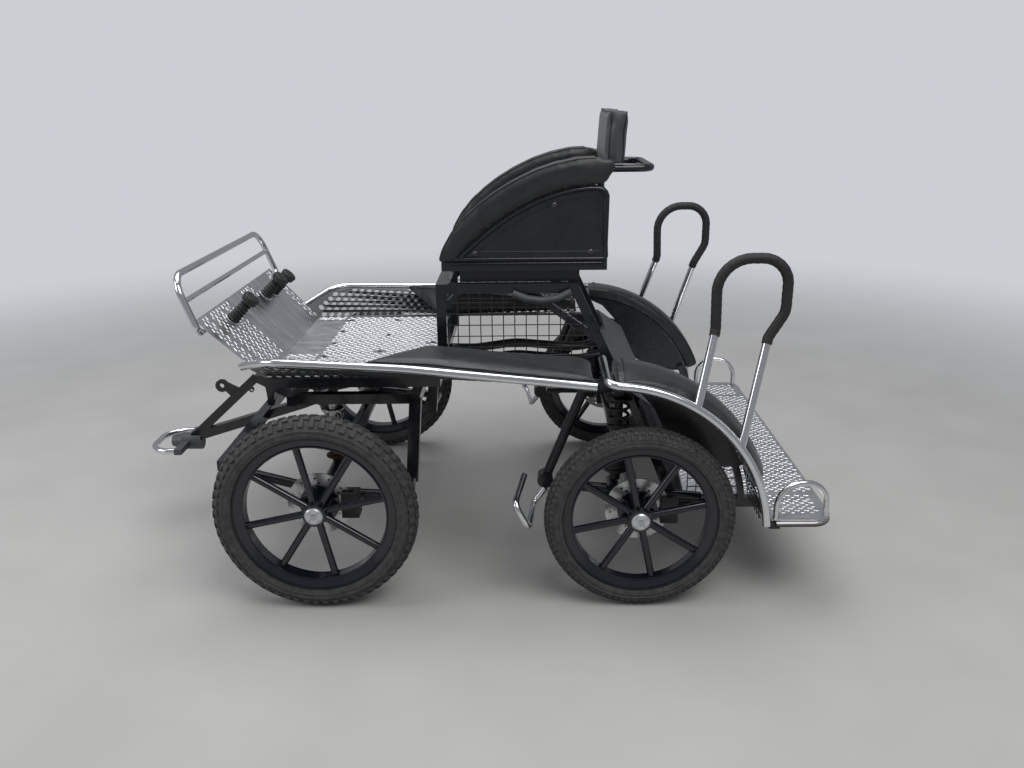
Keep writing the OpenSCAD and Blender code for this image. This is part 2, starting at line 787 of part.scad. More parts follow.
module draw_frame() {
    z_top = lower_ring_top - lower_ring_t - 16;
    apex = [xf + 535, 0, nose_z];
    knee = [xf + 313, 0, 470];
    low = [xf + 154, 0, 386];
    ear = [xf + 424, 0, 437];
    color("#17181b") placed() difference() {
        union() {
            // upper and lower tubes of the nose
            beam(apex, knee, 28);
            beam(knee, [xf + 112, 0, 444], 26);
            beam([xf + 112, 0, 431], [xf + 112, 0, z_top], 26);
            beam(apex, low, 30);
            beam(low, [xf + 62, 0, 419], 29);
            beam([xf + 62, 0, 406], [xf + 62, 0, z_top + 15], 26);
            beam(knee + [-8, 0, 0], low, 24);
            // ear plate
            slab_xz(-5, 5) {
                translate([ear[0], ear[2] + 8]) circle(d = 42);
                polygon([[ear[0] + 15, ear[2] + 20], [ear[0] - 16, ear[2] + 20],
                    [xf + 346, 424], [xf + 385, 395]]);
            }
            // bracket with an eye under the upper tube, and a small lug behind the knee
            slab_xz(-7, 7) {
                polygon([[xf + 282, 446], [xf + 236, 446], [xf + 253, 420], [xf + 257, 389],
                    [xf + 277, 389], [xf + 279, 420]]);
                translate([xf + 267, 389]) circle(d = 27);
            }
            slab_xz(-3, 3) translate([xf + 329, 431]) circle(d = 18);
            // side frames that carry the springs and the posts
            for (x = [xf - 246, xf + 112])
                beam([x, -320, z_top], [x, 320, z_top], 30);
            for (y = [-spring_y, -100, 100, spring_y])
                beam([xf - 256, y, z_top], [xf + 122, y, z_top], 30);
            translate([xf - 90, -115, z_top]) cube([202, 230, 16]);
            both_sides() beam([xf - 246, 305, z_top], [xf - 226, 305, 244], 34);
            // cross tube that carries the arm pivots
            beam([xf + 290, -arm_y, 352], [xf + 290, arm_y, 352], 30);
        }
        slab_xz(-20, 20) translate([ear[0], ear[2] + 8]) circle(d = ear_hole_d);
        slab_xz(-20, 20) translate([xf + 329, 429]) circle(d = 8);
        translate([xf, 0, 0]) cylinder(d = kingpin_d + 42, h = 2000);
    }
}

module nose_bow() {
    d = 20;
    z = nose_z - 16;
    y = 95;
    back = socket_x + socket_plate;
    front = nose_x - d / 2;
    half = [[back, y, z], [front, y, z]];
    color("#d0d3d5") placed() bent(concat(half, [for (p = flip_list(half)) mirror_y(p)]), d,
        [70, 70]);
}

// closed tapering socket on the nose, with the cross plate that carries the bow
socket_x = xf + 545;
socket_plate = 24;

module pole_socket() {
    x0 = xf + 510;
    z = nose_z - 16;
    color("#26282b") placed() difference() {
        union() {
            translate([x0, 0, z]) rotate([0, 90, 0]) {
                cylinder(d = socket_d, h = 62);
                translate([0, 0, 62]) cylinder(d1 = socket_d, d2 = socket_d - 20, h = 36);
            }
            translate([socket_x, -105, z - 9]) cube([socket_plate, 210, 18]);
        }
        translate([-1, 0, 0]) draw_tubes();
    }
}

// the two nose tubes, as the room they take inside the socket
module draw_tubes() {
    apex = [xf + 536, 0, nose_z];
    beam(apex, [xf + 313, 0, 470], 28.4);
    beam(apex, [xf + 154, 0, 386], 30.4);
}

module front_axle() {
    color("#17181a") placed() {
        bar([xf, -upright_y + 2, front_r], [xf, upright_y - 2, front_r], axle_d);
        both_sides() {
            wheel_end(xf, front_r);
            bar([xf + 271, arm_y + 10, 352], [xf, arm_y + 12, front_r], 28);
            bar([xf, arm_y + 12, front_r], [xf - 236, arm_y - 4, 256], 28);
            bar([xf - 236, arm_y - 4, 256], [xf - 226, 323.2, 256], 26);
        }
    }
}

module front_springs() {
    z_top = lower_ring_top - lower_ring_t - 31;
    foot = front_r + axle_d / 2;
    color("#1a1b1d") placed() both_sides() translate([xf, spring_y, foot + seat_gap]) {
        cylinder(d = 26, h = z_top - foot - 2 * seat_gap);
        translate([0, 0, 14]) cylinder(d = 60, h = z_top - foot - 26);
    }
}

module front_calipers() {
    color("#222326") placed() both_sides() caliper(xf, front_r);
}

// ---------- wheels ----------

// wheel positions: axle x, tyre diameter, tyre width, side
front_left = [xf, front_tyre_d, front_tyre_w, left];
front_right = [xf, front_tyre_d, front_tyre_w, right];
rear_left = [xr, rear_tyre_d, rear_tyre_w, left];
rear_right = [xr, rear_tyre_d, rear_tyre_w, right];

function rim_r(w) = w[1] / 2 - w[2] * 0.7;

module at_wheel(w) {
    placed() on_side(w[3]) translate([w[0], yw, w[1] / 2]) children();
}

// profile of (radius, y) turned round the wheel's axle; +y is outboard
module round_axle() {
    rotate([90, 0, 0]) rotate_extrude() mirror([0, 1]) children();
}

module tyre(w) {
    seat = rim_r(w) + seat_gap;
    color("#202322") at_wheel(w) round_axle() difference() {
        translate([w[1] / 2 - w[2] / 2, 0]) circle(d = w[2]);
        translate([seat - 100, -w[2]]) square([100, 2 * w[2]]);
    }
}

module wheel(w) {
    r = rim_r(w);
    half = w[2] * 0.35;
    seat = 0.5;
    color("#111214") at_wheel(w) difference() {
        union() {
            round_axle() polygon([[r - rim_h, -half + 12], [r - 10, -half + 4], [r - seat, -half],
                [r - seat, half], [r - 10, half - 4], [r - rim_h, half - 12]]);
            for (i = [0:spoke_count - 1]) rotate([0, 12 + i * 360 / spoke_count, 0])
                translate([hub_d / 2 - 4, 0, 0]) rotate([0, 90, 0])
                    cylinder(d = spoke_d, h = r - rim_h / 2 - hub_d / 2);
            translate([0, hub_in - yw, 0]) rotate([-90, 0, 0]) cylinder(d = hub_d,
                h = hub_out - hub_in);
            translate([0, hub_in - yw, 0]) rotate([-90, 0, 0]) cylinder(d = disc_d * 0.62,
                h = 6);
        }
        translate([0, hub_in - yw - 1, 0]) rotate([-90, 0, 0])
            cylinder(d = stub_d + 2 * shaft_fit, h = 66);
    }
}

module brake_disc(w) {
    color("#a9acae") at_wheel(w) translate([0, disc_y - yw, 0]) rotate([-90, 0, 0])
        difference() {
            cylinder(d = disc_d, h = disc_t);
            translate([0, 0, -1]) cylinder(d = disc_d * 0.5, h = disc_t + 2);
        }
}

module hub_cap(w) {
    color("#cdd0d2") at_wheel(w) translate([0, hub_out - yw, 0]) rotate([-90, 0, 0]) {
        cylinder(d = cap_d, h = 4);
        translate([0, 0, 4]) cylinder(d1 = cap_d, d2 = cap_d - 8, h = 3);
    }
}

chassis_frame();
turntable_upper();
floor_plate();
footboard();
front_grab_rail();
brake_pedals();
side_guards();
side_rails();
side_pad(left);  // side_pad_left
side_pad(right);  // side_pad_right
seat_pedestal();
pedestal_mesh();
seat_slide();
seat_box();
seat_panels();
seat_cushion();
seat_bolster(left);  // seat_bolster_left
seat_bolster(right);  // seat_bolster_right
backrest_pad();
backrest_handle();
fender_arches();
fender_sides();
fender_pad(left);  // fender_pad_left
fender_pad(right);  // fender_pad_right
fender_rails();
grab_handles();
handle_grips();
rear_bulkhead();
rear_platform();
rear_frame();
platform_loops();
rear_mesh();
side_steps();
rear_axle();
rear_springs();
rear_calipers();
turntable_lower();
draw_frame();
nose_bow();
pole_socket();
front_axle();
front_springs();
front_calipers();
tyre(front_left);  // tyre_front_left
wheel(front_left);  // wheel_front_left
brake_disc(front_left);  // brake_disc_front_left
hub_cap(front_left);  // hub_cap_front_left
tyre(front_right);  // tyre_front_right
wheel(front_right);  // wheel_front_right
brake_disc(front_right);  // brake_disc_front_right
hub_cap(front_right);  // hub_cap_front_right
tyre(rear_left);  // tyre_rear_left
wheel(rear_left);  // wheel_rear_left
brake_disc(rear_left);  // brake_disc_rear_left
hub_cap(rear_left);  // hub_cap_rear_left
tyre(rear_right);  // tyre_rear_right
wheel(rear_right);  // wheel_rear_right
brake_disc(rear_right);  // brake_disc_rear_right
hub_cap(rear_right);  // hub_cap_rear_right
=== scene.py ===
import math

import bpy
import numpy as np
from mathutils import Matrix, Vector


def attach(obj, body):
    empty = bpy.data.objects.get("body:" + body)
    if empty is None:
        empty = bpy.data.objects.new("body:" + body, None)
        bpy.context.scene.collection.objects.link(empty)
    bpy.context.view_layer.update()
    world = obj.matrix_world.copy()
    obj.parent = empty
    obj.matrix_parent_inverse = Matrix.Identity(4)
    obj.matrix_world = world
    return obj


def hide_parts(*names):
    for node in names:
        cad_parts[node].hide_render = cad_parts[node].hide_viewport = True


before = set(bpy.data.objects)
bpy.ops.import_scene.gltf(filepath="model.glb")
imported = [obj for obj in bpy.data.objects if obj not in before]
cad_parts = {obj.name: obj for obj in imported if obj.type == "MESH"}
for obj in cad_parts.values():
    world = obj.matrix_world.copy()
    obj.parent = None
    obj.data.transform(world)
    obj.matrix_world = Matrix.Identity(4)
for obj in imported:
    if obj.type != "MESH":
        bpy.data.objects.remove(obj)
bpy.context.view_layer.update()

SCENE = bpy.context.scene
MID_X = 70.0          # the drawing's X at the row's origin, in mm
FRONT_X, REAR_X = 435.0, -435.0
WHEEL_Y = 591.0
FENDER_X, FENDER_Z = -349.0, 214.0
SEAT_BACK = -365.0
SEAT_SIDE = 250.0     # the outer face of the seat's side panels
DISC_Y = 537          # the middle plane of the brake discs
HUB_END = 625         # the outer face of the hubs
FLOOR_TOP = 585
SLOPE_X = 605         # where the sloping footboard leaves the floor
PLATFORM_TOP = 250    # the rear step platform
# brake pedals: y, distance up the footboard, height of the boot, in mm
PEDALS = ((192, 184, 70), (-155, 181, 62), (-235, 172, 62))

X, Y, Z = Vector((1, 0, 0)), Vector((0, 1, 0)), Vector((0, 0, 1))
SLOPE = Vector((1, 0, 1)).normalized()
NORMAL = Vector((-1, 0, 1)).normalized()


def at(x, y, z):
    """A point of the drawing, in mm, as a point of the row frame, in metres."""
    return Vector(((x - MID_X) / 1000, y / 1000, z / 1000))


# ---------- camera ----------

def aim_camera():
    yaw, pitch, roll = math.radians(-0.915), math.radians(18.07), math.radians(-0.705)
    level = Vector((-math.sin(yaw), -math.cos(yaw), 0))
    right = level.cross(Vector((0, 0, 1)))
    up = right.cross(level)
    ahead = level * math.cos(pitch) - up * math.sin(pitch)
    up = up * math.cos(pitch) + level * math.sin(pitch)
    r = right * math.cos(roll) + up * math.sin(roll)
    u = up * math.cos(roll) - right * math.sin(roll)
    data = bpy.data.cameras.new("view")
    data.sensor_width, data.lens = 36.0, 31.63
    data.clip_start, data.clip_end = 0.05, 200
    cam = bpy.data.objects.new("view", data)
    SCENE.collection.objects.link(cam)
    m = Matrix((r, u, -ahead)).transposed().to_4x4()
    m.translation = Vector((-0.202, 2.780, 1.350))
    cam.matrix_world = m
    SCENE.camera = cam


# ---------- looks ----------

LOOKS = {}


def look(name, base, rough, metal=0.0, worn=None, amount=0.5, scale=30.0, spread=0.06, bump=0.0,
         grain=400.0, coat=0.0, sheen=0.0, stretch=(1, 1, 1), ior=1.5):
    """A finish whose colour, roughness and surface vary a little over the piece."""
    m = bpy.data.materials.new(name)
    m.use_nodes = True
    n, links = m.node_tree.nodes, m.node_tree.links
    p = n["Principled BSDF"]
    p.inputs["Metallic"].default_value = metal
    p.inputs["Coat Weight"].default_value = coat
    p.inputs["Coat Roughness"].default_value = 0.08
    p.inputs["Sheen Weight"].default_value = sheen
    p.inputs["Sheen Roughness"].default_value = 0.4
    p.inputs["IOR"].default_value = ior
    where = n.new("ShaderNodeTexCoord")
    size = n.new("ShaderNodeMapping")
    size.inputs["Scale"].default_value = stretch
    links.new(where.outputs["Object"], size.inputs["Vector"])
    noise = n.new("ShaderNodeTexNoise")
    noise.inputs["Scale"].default_value = scale
    noise.inputs["Detail"].default_value = 6
    links.new(size.outputs["Vector"], noise.inputs["Vector"])
    ramp = n.new("ShaderNodeValToRGB")
    worn = worn or tuple(min(1.0, c * 1.35 + 0.004) for c in base)
    ramp.color_ramp.elements[0].position = 0.35
    ramp.color_ramp.elements[1].position = 0.35 + 0.6 / max(amount, 0.05) * 0.5
    ramp.color_ramp.elements[0].color = (*base, 1)
    ramp.color_ramp.elements[1].color = (*worn, 1)
    links.new(noise.outputs["Fac"], ramp.inputs["Fac"])
    links.new(ramp.outputs["Color"], p.inputs["Base Color"])
    spot = n.new("ShaderNodeMapRange")
    spot.inputs["From Min"].default_value = 0.3
    spot.inputs["From Max"].default_value = 0.7
    spot.inputs["To Min"].default_value = max(0.02, rough - spread)
    spot.inputs["To Max"].default_value = min(1.0, rough + spread)
    links.new(noise.outputs["Fac"], spot.inputs["Value"])
    links.new(spot.outputs["Result"], p.inputs["Roughness"])
    if bump:
        fine = n.new("ShaderNodeTexNoise")
        fine.inputs["Scale"].default_value = grain
        fine.inputs["Detail"].default_value = 3
        links.new(size.outputs["Vector"], fine.inputs["Vector"])
        relief = n.new("ShaderNodeBump")
        relief.inputs["Strength"].default_value = bump
        relief.inputs["Distance"].default_value = 0.0006
        links.new(fine.outputs["Fac"], relief.inputs["Height"])
        links.new(relief.outputs["Normal"], p.inputs["Normal"])
    LOOKS[name] = m
    return m


def below(m, height, colour, rough):
    """Gives a finish another colour under a height of the object, in metres."""
    n, links = m.node_tree.nodes, m.node_tree.links
    p = n["Principled BSDF"]
    where = n.new("ShaderNodeTexCoord")
    split = n.new("ShaderNodeSeparateXYZ")
    links.new(where.outputs["Object"], split.inputs["Vector"])
    under = n.new("ShaderNodeMapRange")
    under.inputs["From Min"].default_value = height - 0.008
    under.inputs["From Max"].default_value = height + 0.008
    under.inputs["To Min"].default_value = 1.0
    under.inputs["To Max"].default_value = 0.0
    links.new(split.outputs["Z"], under.inputs["Value"])
    mix = n.new("ShaderNodeMix")
    mix.data_type = "RGBA"
    old = p.inputs["Base Color"].links[0].from_socket
    links.new(under.outputs["Result"], mix.inputs["Factor"])
    links.new(old, mix.inputs["A"])
    mix.inputs["B"].default_value = (*colour, 1)
    links.new(mix.outputs["Result"], p.inputs["Base Color"])
    even = n.new("ShaderNodeMix")
    old = p.inputs["Roughness"].links[0].from_socket
    links.new(under.outputs["Result"], even.inputs["Factor"])
    links.new(old, even.inputs["A"])
    even.inputs["B"].default_value = rough
    links.new(even.outputs["Result"], p.inputs["Roughness"])


def make_looks():
    look("paint", (0.006, 0.007, 0.010), 0.24, bump=0.05, coat=0.2)
    look("wheel_paint", (0.004, 0.005, 0.010), 0.14, bump=0.02, coat=0.3, spread=0.04)
    look("panel", (0.009, 0.010, 0.012), 0.30, bump=0.06, coat=0.1)
    look("cast", (0.016, 0.017, 0.018), 0.55, bump=0.3, grain=260)
    look("socket_paint", (0.055, 0.058, 0.062), 0.45, bump=0.2)
    look("wire", (0.010, 0.010, 0.011), 0.4, bump=0.1)
    look("chrome", (0.74, 0.75, 0.77), 0.13, metal=1.0, worn=(0.62, 0.63, 0.66), spread=0.05,
         bump=0.03, grain=150)
    look("loop_tube", (0.70, 0.71, 0.73), 0.16, metal=1.0, worn=(0.55, 0.54, 0.53), bump=0.04)
    below(LOOKS["loop_tube"], 0.243, (0.07, 0.045, 0.03), 0.7)
    look("post", (0.45, 0.45, 0.46), 0.3, metal=1.0, bump=0.06)
    below(LOOKS["post"], 0.345, (0.060, 0.040, 0.030), 0.8)
    look("tread", (0.56, 0.57, 0.59), 0.36, metal=1.0, worn=(0.68, 0.68, 0.69), scale=14,
         bump=0.12, grain=220, spread=0.1, stretch=(1, 3, 1))
    look("steel", (0.50, 0.51, 0.52), 0.30, metal=1.0, worn=(0.40, 0.40, 0.40), bump=0.1)
    look("dark_steel", (0.09, 0.09, 0.10), 0.4, metal=0.8, bump=0.1)
    look("cap", (0.60, 0.61, 0.63), 0.33, metal=0.85, worn=(0.52, 0.53, 0.55), bump=0.05)
    look("vinyl", (0.014, 0.015, 0.016), 0.38, bump=0.30, grain=900, sheen=0.10,
         worn=(0.024, 0.026, 0.027))
    look("vinyl_piping", (0.014, 0.015, 0.016), 0.38, bump=0.2, grain=900)
    look("grey_vinyl", (0.050, 0.053, 0.057), 0.45, bump=0.30, grain=900, sheen=0.15,
         worn=(0.066, 0.069, 0.073))
    look("tape", (0.012, 0.012, 0.013), 0.62, bump=0.4, grain=600)
    look("pedal", (0.010, 0.012, 0.011), 0.55, bump=0.2, grain=500)
    look("rubber", (0.026, 0.029, 0.027), 0.72, worn=(0.075, 0.077, 0.070), amount=0.6, scale=60,
         bump=0.35, grain=500)
    look("hose", (0.05, 0.053, 0.055), 0.5, bump=0.2)
    # the rear bulkhead is black sheet; its dark grey colour here is painted light, the reflection
    # of the light from above on its up-facing slope
    look("bulkhead", (0.060, 0.063, 0.069), 0.5, bump=0.12)


FINISH = {
    "chassis_frame": "paint", "turntable_upper": "paint", "floor_plate": "tread",
    "footboard": "tread", "front_grab_rail": "chrome", "brake_pedals": "pedal",
    "side_guards": "panel", "side_rails": "chrome", "side_pad_left": "vinyl",
    "side_pad_right": "vinyl", "seat_pedestal": "paint", "pedestal_mesh": "wire",
    "seat_slide": "panel", "seat_box": "panel", "seat_panels": "panel",
    "seat_cushion": "vinyl", "seat_bolster_left": "vinyl", "seat_bolster_right": "vinyl",
    "backrest_pad": "grey_vinyl", "backrest_handle": "paint", "fender_arches": "panel",
    "fender_sides": "panel", "fender_pad_left": "vinyl", "fender_pad_right": "vinyl",
    "fender_rails": "chrome", "grab_handles": "chrome", "handle_grips": "tape",
    "rear_bulkhead": "bulkhead", "rear_platform": "tread", "rear_frame": "paint",
    "platform_loops": "loop_tube", "rear_mesh": "wire", "side_steps": "chrome",
    "rear_axle": "paint", "rear_springs": "cast", "rear_calipers": "cast",
    "turntable_lower": "paint", "draw_frame": "paint", "nose_bow": "chrome",
    "pole_socket": "socket_paint", "front_axle": "paint", "front_springs": "cast",
    "front_calipers": "cast",
}
WHEEL_FINISH = {"tyre_": "rubber", "wheel_": "wheel_paint", "brake_disc_": "steel",
                "hub_cap_": "cap"}


def finish_cad():
    for name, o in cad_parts.items():
        kind = FINISH.get(name) or next(v for k, v in WHEEL_FINISH.items() if name.startswith(k))
        if not o.material_slots:
            o.data.materials.append(LOOKS[kind])
        for s in o.material_slots:
            s.material = LOOKS[kind]


# ---------- shapes ----------

class Shape:
    """Points and faces, in metres in the row frame."""

    def __init__(self):
        self.v, self.f = [], []

    def add(self, points, faces):
        n = len(self.v)
        self.v += [Vector(p) for p in points]
        self.f += [tuple(i + n for i in f) for f in faces]

    def mirror(self):
        other = Shape()
        other.v = [Vector((p.x, -p.y, p.z)) for p in self.v]
        other.f = [tuple(reversed(f)) for f in self.f]
        return other

    def both(self):
        other = self.mirror()
        self.add(other.v, other.f)
        return self


def place(name, mesh, body, kind, stands_for=(), smooth=True):
    o = bpy.data.objects.new(name, mesh)
    SCENE.collection.objects.link(o)
    mesh.materials.clear()
    mesh.materials.append(LOOKS[kind])
    for p in mesh.polygons:
        p.use_smooth = smooth
    if smooth:
        mesh.set_sharp_from_angle(angle=math.radians(42))
    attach(o, body)
    if stands_for:
        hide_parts(*stands_for)
    return o


def piece(name, shape, body, kind, stands_for=(), smooth=True):
    mesh = bpy.data.meshes.new(name)
    mesh.from_pydata([tuple(p) for p in shape.v], [], shape.f)
    mesh.validate()
    mesh.update()
    return place(name, mesh, body, kind, stands_for, smooth)


def fillet(points, radii, step=0.006):
    """A path through points with its corners rounded by radii, in metres."""
    out = [points[0]]
    for i in range(1, len(points) - 1):
        a, b, c = points[i - 1], points[i], points[i + 1]
        u, v = (a - b).normalized(), (c - b).normalized()
        half = u.angle(v) / 2
        r = radii[i - 1]
        back = min(r / math.tan(half), 0.49 * (a - b).length, 0.49 * (c - b).length)
        r = back * math.tan(half)
        p, q = b + u * back, b + v * back
        centre = b + (u + v).normalized() * (r / math.sin(half))
        sweep = math.pi - 2 * half
        n = max(2, int(r * sweep / step))
        e = (p - centre).normalized()
        w = (q - centre) - e * (q - centre).dot(e)
        w = w.normalized() if w.length > 1e-9 else v
        for k in range(n + 1):
            t = sweep * k / n
            out.append(centre + (e * math.cos(t) + w * math.sin(t)) * r)
    out.append(points[-1])
    return out


def resample(path, step):
    """The path as equal steps, each about one step long."""
    done = [0.0]
    for a, b in zip(path, path[1:]):
        done.append(done[-1] + (b - a).length)
    n = max(2, round(done[-1] / step))
    out, k = [], 0
    for i in range(n + 1):
        s = done[-1] * i / n
        while k < len(path) - 2 and done[k + 1] < s:
            k += 1
        t = (s - done[k]) / max(done[k + 1] - done[k], 1e-9)
        out.append(path[k].lerp(path[k + 1], min(1, max(0, t))))
    return out


def tube(shape, path, radius, sides=12, closed=False):
    """radius is a number, or a function of (station, angle) where stations run along the path."""
    n = len(path)
    size = radius if callable(radius) else (lambda i, a: radius)
    first = (path[1] - path[0]).normalized()
    side = first.orthogonal().normalized()
    points, faces = [], []
    for i, p in enumerate(path):
        ahead = path[(i + 1) % n] if closed or i < n - 1 else path[i]
        behind = path[i - 1] if closed or i > 0 else path[i]
        d = (ahead - behind).normalized()
        side = (side - d * side.dot(d)).normalized()
        other = d.cross(side)
        for k in range(sides):
            a = 2 * math.pi * k / sides
            points.append(p + (side * math.cos(a) + other * math.sin(a)) * size(i, a))
    for i in range(n if closed else n - 1):
        j = (i + 1) % n
        for k in range(sides):
            m = (k + 1) % sides
            faces.append((i * sides + k, i * sides + m, j * sides + m, j * sides + k))
    if not closed:
        faces.append(tuple(reversed(range(sides))))
        faces.append(tuple((n - 1) * sides + k for k in range(sides)))
    shape.add(points, faces)


def lathe(shape, profile, origin, axis, sides=24):
    """Turns (radius, height) pairs in mm round an axis at origin."""
    d = Vector(axis).normalized()
    e = d.orthogonal().normalized()
    g = d.cross(e)
    points, faces = [], []
    for r, h in profile:
        for k in range(sides):
            a = 2 * math.pi * k / sides
            out = e * math.cos(a) + g * math.sin(a)
            points.append(origin + d * (h / 1000) + out * (r / 1000))
    for i in range(len(profile) - 1):
        for k in range(sides):
            m = (k + 1) % sides
            faces.append((i * sides + k, i * sides + m, (i + 1) * sides + m, (i + 1) * sides + k))
    faces.append(tuple(reversed(range(sides))))
    faces.append(tuple((len(profile) - 1) * sides + k for k in range(sides)))
    shape.add(points, faces)


def helix(p, q, radius, turns, wire, shape, per_turn=22, sides=8):
    """Adds a coil of round wire from p to q, in metres."""
    d = (q - p).normalized()
    e = d.orthogonal().normalized()
    g = d.cross(e)
    path = []
    for i in range(int(turns * per_turn) + 1):
        t = i / (turns * per_turn)
        a = 2 * math.pi * turns * t
        path.append(p.lerp(q, t) + (e * math.cos(a) + g * math.sin(a)) * radius)
    tube(shape, path, wire / 2, sides)


def bezier(p0, p1, p2, p3, n):
    out = []
    for i in range(n + 1):
        t = i / n
        s = 1 - t
        w = (s ** 3, 3 * s * s * t, 3 * s * t * t, t ** 3)
        out.append(tuple(sum(w[k] * p[j] for k, p in enumerate((p0, p1, p2, p3))) for j in (0, 1)))
    return out


def flat_sheet(name, loops):
    """A flat mesh in XY inside the first loop and outside the others."""
    c = bpy.data.curves.new(name, "CURVE")
    c.dimensions = "2D"
    c.fill_mode = "FRONT"
    for loop in loops:
        s = c.splines.new("POLY")
        s.points.add(len(loop) - 1)
        for q, (x, y) in zip(s.points, loop):
            q.co = (x, y, 0, 1)
        s.use_cyclic_u = True
    o = bpy.data.objects.new(name + "_flat", c)
    SCENE.collection.objects.link(o)
    mesh = bpy.data.meshes.new_from_object(o.evaluated_get(bpy.context.evaluated_depsgraph_get()))
    bpy.data.objects.remove(o)
    return mesh


def baked(o):
    """The mesh of o with its modifiers."""
    dg = bpy.context.evaluated_depsgraph_get()
    return bpy.data.meshes.new_from_object(o.evaluated_get(dg))


def thick(mesh, t):
    o = bpy.data.objects.new("thick", mesh)
    SCENE.collection.objects.link(o)
    m = o.modifiers.new("t", "SOLIDIFY")
    m.thickness, m.offset = t, 0
    out = baked(o)
    bpy.data.objects.remove(o)
    return out


def ring(x, y, r, n=12, phase=0.0):
    turns = [phase + 2 * math.pi * k / n for k in range(n)]
    return [(x + r * math.cos(a), y + r * math.sin(a)) for a in turns]


# ---------- tyres, discs and springs ----------

# axle x, side, tyre diameter and width, in mm
WHEELS = {
    "front_left": (FRONT_X, 1, 556, 80), "front_right": (FRONT_X, -1, 556, 80),
    "rear_left": (REAR_X, 1, 514, 68), "rear_right": (REAR_X, -1, 514, 68),
}
# rows of blocks: section angle, half width in mm, half length in mm, number, share of a step
KNOBS_FRONT = [(-50, 9, 8.5, 60, 0.0), (-17, 9, 9, 60, 0.5),
               (17, 9, 9, 60, 0.0), (50, 9, 8.5, 60, 0.5)]
KNOBS_REAR = [(a, 6, 6, 84, 0.5 * (i % 2)) for i, a in enumerate((-62, -37, -12, 12, 37, 62))]


def tyre(x, side, d, w, knobs, depth):
    """A tyre's carcass with rows of blocks that stand depth mm proud of it."""
    outer, tube_r = d / 2, w / 2
    c = outer - tube_r
    centre = at(x, side * WHEEL_Y, d / 2)

    def spot(phi, theta, s):
        rho = (c + s * math.cos(theta)) / 1000
        return centre + Vector((rho * math.cos(phi), side * s * math.sin(theta) / 1000,
                                rho * math.sin(phi)))
    section = []
    for k in range(-40, 41):
        a = k * 2.9
        s = tube_r - depth if abs(a) < 66 else tube_r - depth + 1.5
        if 78 < abs(a) < 82 or 96 < abs(a) < 100:
            s += 1.8
        section.append((math.radians(a), s))
    shape = Shape()
    n, m = 120, len(section)
    points = [spot(2 * math.pi * i / n, a, s) for i in range(n) for a, s in section]
    faces = []
    for i in range(n):
        j = (i + 1) % n
        for k in range(m):
            q = (k + 1) % m
            faces.append((i * m + k, j * m + k, j * m + q, i * m + q)[::side])
    shape.add(points, faces)
    for angle, half_w, half_l, count, phase in knobs:
        t0 = math.radians(angle)
        rho = c + tube_r * math.cos(t0)
        for i in range(count):
            p0 = 2 * math.pi * (i + phase) / count
            block = []
            for s, cut in ((tube_r - depth - 1, 0.0), (tube_r - 1.0, 0.6), (tube_r, 1.8)):
                for u, v in ((-1, -1), (1, -1), (1, 1), (-1, 1)):
                    block.append(spot(p0 + u * (half_l - cut) / rho,
                                      t0 + v * (half_w - cut) / tube_r, s))
            walls = [(r * 4 + k, r * 4 + (k + 1) % 4, r * 4 + 4 + (k + 1) % 4, r * 4 + 4 + k)
                     for r in (0, 1) for k in range(4)] + [(8, 9, 10, 11)]
            shape.add(block, [f[::side] for f in walls])
    return shape


def disc(name, x, side, d):
    """A brake disc with pairs of drilled holes, standing for the plain one."""
    loops = [ring(0, 0, 89, 72), ring(0, 0, 44.5, 48)]
    for k in range(12):
        a = 2 * math.pi * k / 12
        for r, da in ((60, 0.0), (75, 0.12)):
            loops.append(ring(r * math.cos(a + da), r * math.sin(a + da), 4.2, 10))
    mesh = thick(flat_sheet(name, loops), 3.9)
    centre = at(x, side * DISC_Y, d / 2)
    turn = Matrix(((1, 0, 0), (0, 0, 1), (0, -1, 0))).to_4x4()
    mesh.transform(Matrix.Translation(centre) @ turn @ Matrix.Scale(0.001, 4))
    return mesh


def make_wheels():
    for end, (x, side, d, w) in WHEELS.items():
        front = end.startswith("front")
        body = f"wheel_{end}_body"
        knobs, depth = (KNOBS_FRONT, 5.5) if front else (KNOBS_REAR, 4.0)
        shape = tyre(x, side, d, w, knobs, depth)
        piece(f"tyre_{end}_tread", shape, body, "rubber", [f"tyre_{end}"])
        place(f"brake_disc_{end}_drilled", disc(end, x, side, d), body, "steel",
              [f"brake_disc_{end}"])
        lips = Shape()
        rim = d / 2 - w * 0.7
        for r, y in ((rim - 4, 0.35 * w - 1.5), (rim - 27.5, 0.35 * w - 10)):
            for face in (-y, y):
                middle = at(x, side * (WHEEL_Y + face), d / 2)
                circle = [middle + Vector((math.cos(a), 0, math.sin(a))) * (r / 1000)
                          for a in (2 * math.pi * k / 96 for k in range(96))]
                tube(lips, circle, 0.0028, 8, closed=True)
        piece(f"rim_lips_{end}", lips, body, "wheel_paint")
        nuts = Shape()
        for k in range(4):
            a = math.radians(45 + 90 * k)
            lathe(nuts, [(4.2, -1), (4.2, 1.6), (3.2, 2.4)],
                  at(x + 16 * math.cos(a), side * HUB_END, d / 2 + 16 * math.sin(a)),
                  (0, side, 0), 6)
        lathe(nuts, [(9, -1), (9, 0.8), (7.5, 1.6)], at(x, side * HUB_END, d / 2),
              (0, side, 0), 20)
        piece(f"hub_bolts_{end}", nuts, body, "steel")


